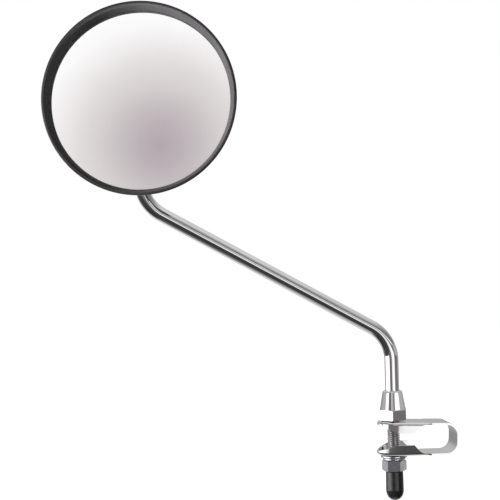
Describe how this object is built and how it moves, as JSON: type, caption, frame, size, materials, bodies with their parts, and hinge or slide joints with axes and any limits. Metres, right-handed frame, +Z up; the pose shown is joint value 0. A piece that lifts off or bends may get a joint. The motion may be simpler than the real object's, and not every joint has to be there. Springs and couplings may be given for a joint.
{
  "type": "bike mirror",
  "caption": "Round convex bicycle mirror on a ball joint, with a bent chrome arm and a sheet-steel strap clamp that a nut closes round the handlebar.",
  "frame": {"origin": "middle of the handlebar that the strap clamp wraps round, halfway between the strap's legs", "axes": "+Z up along the threaded stud, Y along the handlebar, +X from the stud towards the closed end of the strap; the mirror faces -Y"},
  "size_m": [0.2452, 0.0701, 0.301],
  "materials": {
    "chrome": "bright chrome plate on steel, with faint polishing marks",
    "zinc": "bright zinc plate on steel, slightly blue",
    "black_plastic": "glossy black moulded plastic",
    "mirror": "silvered convex glass",
    "card": "grey pressed polystyrene sheet",
    "nylon": "natural nylon",
    "vinyl": "glossy black dipped vinyl"
  },
  "bodies": {
    "clamp": {"clamp_strap": "chrome"},
    "arm": {"arm_rod": "chrome", "hex_collar": "chrome", "threaded_stud": "zinc", "pivot_ball": "zinc"},
    "washers": {"flat_washer": "zinc", "spring_washer": "zinc"},
    "nut": {"clamp_nut": "zinc"},
    "cap": {"end_cap": "vinyl"},
    "front_liner": {"front_liner": "nylon"},
    "rear_liner": {"rear_liner": "nylon"},
    "head": {"housing_shell": "black_plastic", "bezel_ring": "black_plastic", "mirror_glass": "mirror", "backing_card": "card", "pressure_cup": "nylon", "disc_spring": "zinc", "retaining_plate": "zinc", "plate_screw_1": "zinc", "plate_screw_2": "zinc", "plate_screw_3": "zinc"}
  },
  "joints": [
    {"name": "arm_swivel", "type": "hinge", "parent": "clamp", "child": "arm", "pos_m": [-0.0263, 0, 0], "axis": [0, 0, 1], "continuous": true},
    {"name": "washer_slide", "type": "slide", "parent": "arm", "child": "washers", "axis": [0, 0, -1], "range_m": [0, 0.0076]},
    {"name": "nut_turn", "type": "hinge", "parent": "washers", "child": "nut", "pos_m": [-0.0263, 0, 0], "axis": [0, 0, -1], "range_deg": [0, 2160]},
    {"name": "cap_pull", "type": "slide", "parent": "washers", "child": "cap", "axis": [0, 0, -1], "range_m": [0, 0.02]},
    {"name": "mirror_pan", "type": "hinge", "parent": "arm", "child": "front_liner", "pos_m": [-0.1746, -0.027, 0.2059], "axis": [0.0153, 0.0964, 0.9952], "range_deg": [-13, 31]},
    {"name": "mirror_tilt", "type": "hinge", "parent": "front_liner", "child": "rear_liner", "pos_m": [-0.1746, -0.027, 0.2059], "axis": [0.9877, -0.1564, 0], "range_deg": [-16, 27]},
    {"name": "mirror_spin", "type": "hinge", "parent": "rear_liner", "child": "head", "pos_m": [-0.1746, -0.027, 0.2059], "axis": [-0.1557, -0.983, 0.0976], "continuous": true}
  ],
  "couplings": [
    {"joint": "washer_slide", "follows": "nut_turn", "m_per_rad": 0.00019894}
  ]
}
